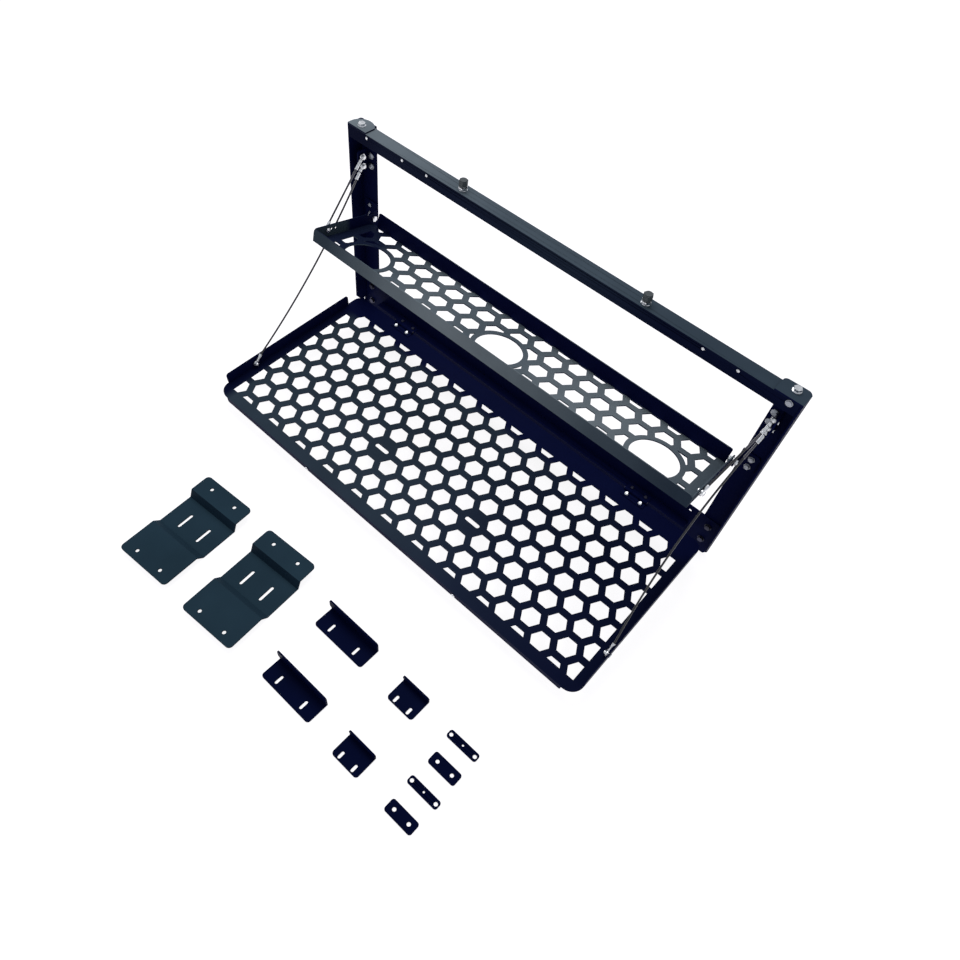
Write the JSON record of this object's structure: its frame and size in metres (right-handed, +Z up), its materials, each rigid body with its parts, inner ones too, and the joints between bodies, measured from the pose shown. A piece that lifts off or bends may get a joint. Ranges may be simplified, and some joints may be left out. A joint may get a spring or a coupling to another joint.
{
  "type": "fold-down tailgate step",
  "caption": "Fold-down honeycomb tailgate step: frame with a hinged lower tray, a small upper shelf with cup holes, wire stays and loose brackets.",
  "frame": {"origin": "middle of the frame at its foot, on the rear mounting plane of the uprights", "axes": "+X to the user's right along the frame, +Y into the tailgate, +Z up"},
  "size_m": [0.8, 0.6438, 0.402],
  "materials": {
    "black_powder_coat": "satin black powder coat",
    "black_bolt": "black oxide",
    "zinc_steel": "zinc plated",
    "black_rubber": "matte moulded",
    "coated_wire_rope": "dark coated wire rope"
  },
  "bodies": {
    "frame": {"left_upright": "black_powder_coat", "right_upright": "black_powder_coat", "left_cap_plate": "black_powder_coat", "right_cap_plate": "black_powder_coat", "top_tube": "black_powder_coat", "lower_panel": "black_powder_coat", "hinge_rail": "black_powder_coat", "cap_plate_bolts": "zinc_steel", "tube_end_bolt": "zinc_steel", "panel_bolts": "black_bolt", "flange_rivets": "zinc_steel", "tube_rivets": "zinc_steel", "left_wire_anchor": "black_powder_coat", "right_wire_anchor": "black_powder_coat", "anchor_screws": "zinc_steel", "frame_wire_pins": "zinc_steel", "frame_wire_ends": "zinc_steel", "left_pivot_bracket": "black_powder_coat", "right_pivot_bracket": "black_powder_coat", "pivot_bracket_bolts": "zinc_steel", "pivot_pins": "zinc_steel", "left_frame_leaf": "black_powder_coat", "right_frame_leaf": "black_powder_coat", "hinge_pins": "zinc_steel", "frame_leaf_bolts": "zinc_steel", "stop_nuts": "zinc_steel", "left_short_wire": "coated_wire_rope", "right_short_wire": "coated_wire_rope", "left_long_wire": "coated_wire_rope", "right_long_wire": "coated_wire_rope", "joggled_bracket_a": "black_powder_coat", "joggled_bracket_b": "black_powder_coat", "wide_angle_bracket_a": "black_powder_coat", "wide_angle_bracket_b": "black_powder_coat", "small_angle_bracket_a": "black_powder_coat", "small_angle_bracket_b": "black_powder_coat", "narrow_strap_a": "black_powder_coat", "narrow_strap_b": "black_powder_coat", "wide_strap_a": "black_powder_coat", "wide_strap_b": "black_powder_coat"},
    "lower_tray": {"lower_tray": "black_powder_coat", "left_tray_leaf": "black_powder_coat", "right_tray_leaf": "black_powder_coat", "tray_leaf_bolts": "zinc_steel", "tray_front_screws": "zinc_steel", "lower_wire_pins": "zinc_steel", "lower_wire_ends": "zinc_steel"},
    "upper_tray": {"upper_tray": "black_powder_coat", "upper_wire_pins": "zinc_steel", "upper_wire_ends": "zinc_steel"},
    "left_stop": {"left_stop_bolt": "zinc_steel", "left_stop_cap": "black_rubber"},
    "right_stop": {"right_stop_bolt": "zinc_steel", "right_stop_cap": "black_rubber"}
  },
  "joints": [
    {"name": "lower_tray_fold", "type": "hinge", "parent": "frame", "child": "lower_tray", "pos_m": [0, -0.0265, 0.0488], "axis": [-1, 0, 0], "range_deg": [0, 91.5], "deforming": ["left_long_wire", "right_long_wire"]},
    {"name": "upper_tray_fold", "type": "hinge", "parent": "frame", "child": "upper_tray", "pos_m": [0, -0.0175, 0.2321], "axis": [-1, 0, 0], "range_deg": [0, 76.4], "deforming": ["left_short_wire", "right_short_wire"]},
    {"name": "left_stop_height", "type": "slide", "parent": "frame", "child": "left_stop", "axis": [0, 0, 1], "range_m": [0, 0.008]},
    {"name": "right_stop_height", "type": "slide", "parent": "frame", "child": "right_stop", "axis": [0, 0, 1], "range_m": [0, 0.008]}
  ],
  "couplings": [
    {"joint": "upper_tray_fold", "follows": "lower_tray_fold", "ratio": 0.8345}
  ]
}
